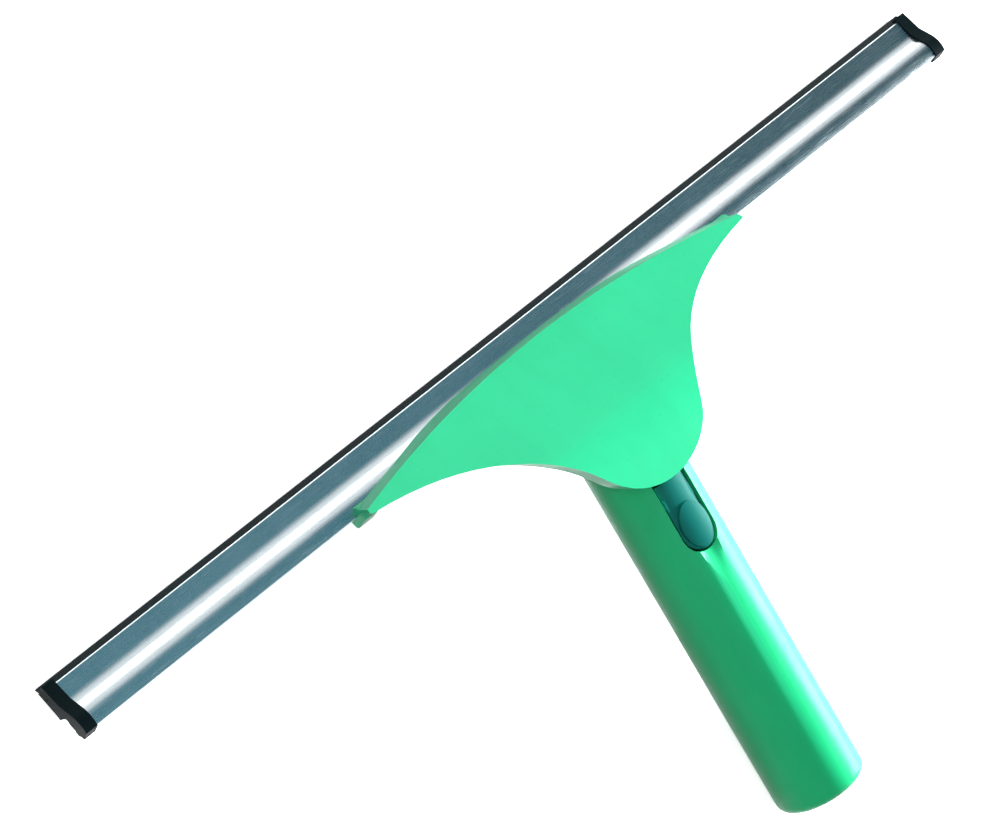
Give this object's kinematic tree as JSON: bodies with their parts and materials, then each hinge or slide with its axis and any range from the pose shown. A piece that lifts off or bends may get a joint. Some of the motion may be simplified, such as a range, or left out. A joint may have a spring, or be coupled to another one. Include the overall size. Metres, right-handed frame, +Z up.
{
  "type": "window cleaning squeegee",
  "caption": "Wide window squeegee: fan-shaped head clamping a metal rail with a rubber lip, a round socket handle and a thumb release for a pole.",
  "frame": {"origin": "centre of the footprint, on the surface that the lip edge and the handle's rim rest on", "axes": "+X along the rail, +Y from the handle towards the rubber lip, +Z up through the user's side"},
  "size_m": [0.4, 0.1866, 0.0453],
  "materials": {
    "rail_metal": "satin anodised",
    "rubber": "matt black",
    "cap_plastic": "fine satin black-teal",
    "plate_plastic": "smooth satin mint green",
    "frame_plastic": "satin dark green",
    "handle_plastic": "satin green",
    "sleeve_plastic": "satin deep teal",
    "button_plastic": "satin teal",
    "screw_steel": "zinc plated",
    "spring_steel": "drawn spring wire"
  },
  "bodies": {
    "root": {"rail": "rail_metal", "front_plate": "plate_plastic", "rear_plate": "frame_plastic", "clamp_screw_left": "screw_steel", "clamp_screw_right": "screw_steel", "handle": "handle_plastic", "pole_sleeve": "sleeve_plastic", "neck_screw_left": "screw_steel", "neck_screw_right": "screw_steel", "button_pin": "screw_steel", "button_spring": "spring_steel"},
    "button": {"release_button": "button_plastic"},
    "lip": {"rubber_lip": "rubber"},
    "cap_right": {"end_cap_right": "cap_plastic"},
    "cap_left": {"end_cap_left": "cap_plastic"}
  },
  "joints": [
    {"name": "button_press", "type": "hinge", "parent": "root", "child": "button", "pos_m": [0, 0.02097, 0.03671], "axis": [1, 0, 0], "range_deg": [0, 7], "stiffness_Nm_per_rad": 0.35, "springref_deg": -2.86, "deforming": ["button_spring"]},
    {"name": "lip_slide", "type": "slide", "parent": "root", "child": "lip", "axis": [1, 0, 0], "range_m": [0, 0.39]},
    {"name": "cap_right_pull", "type": "slide", "parent": "lip", "child": "cap_right", "axis": [1, 0, 0], "range_m": [0, 0.014]},
    {"name": "cap_left_pull", "type": "slide", "parent": "root", "child": "cap_left", "axis": [-1, 0, 0], "range_m": [0, 0.014]}
  ]
}
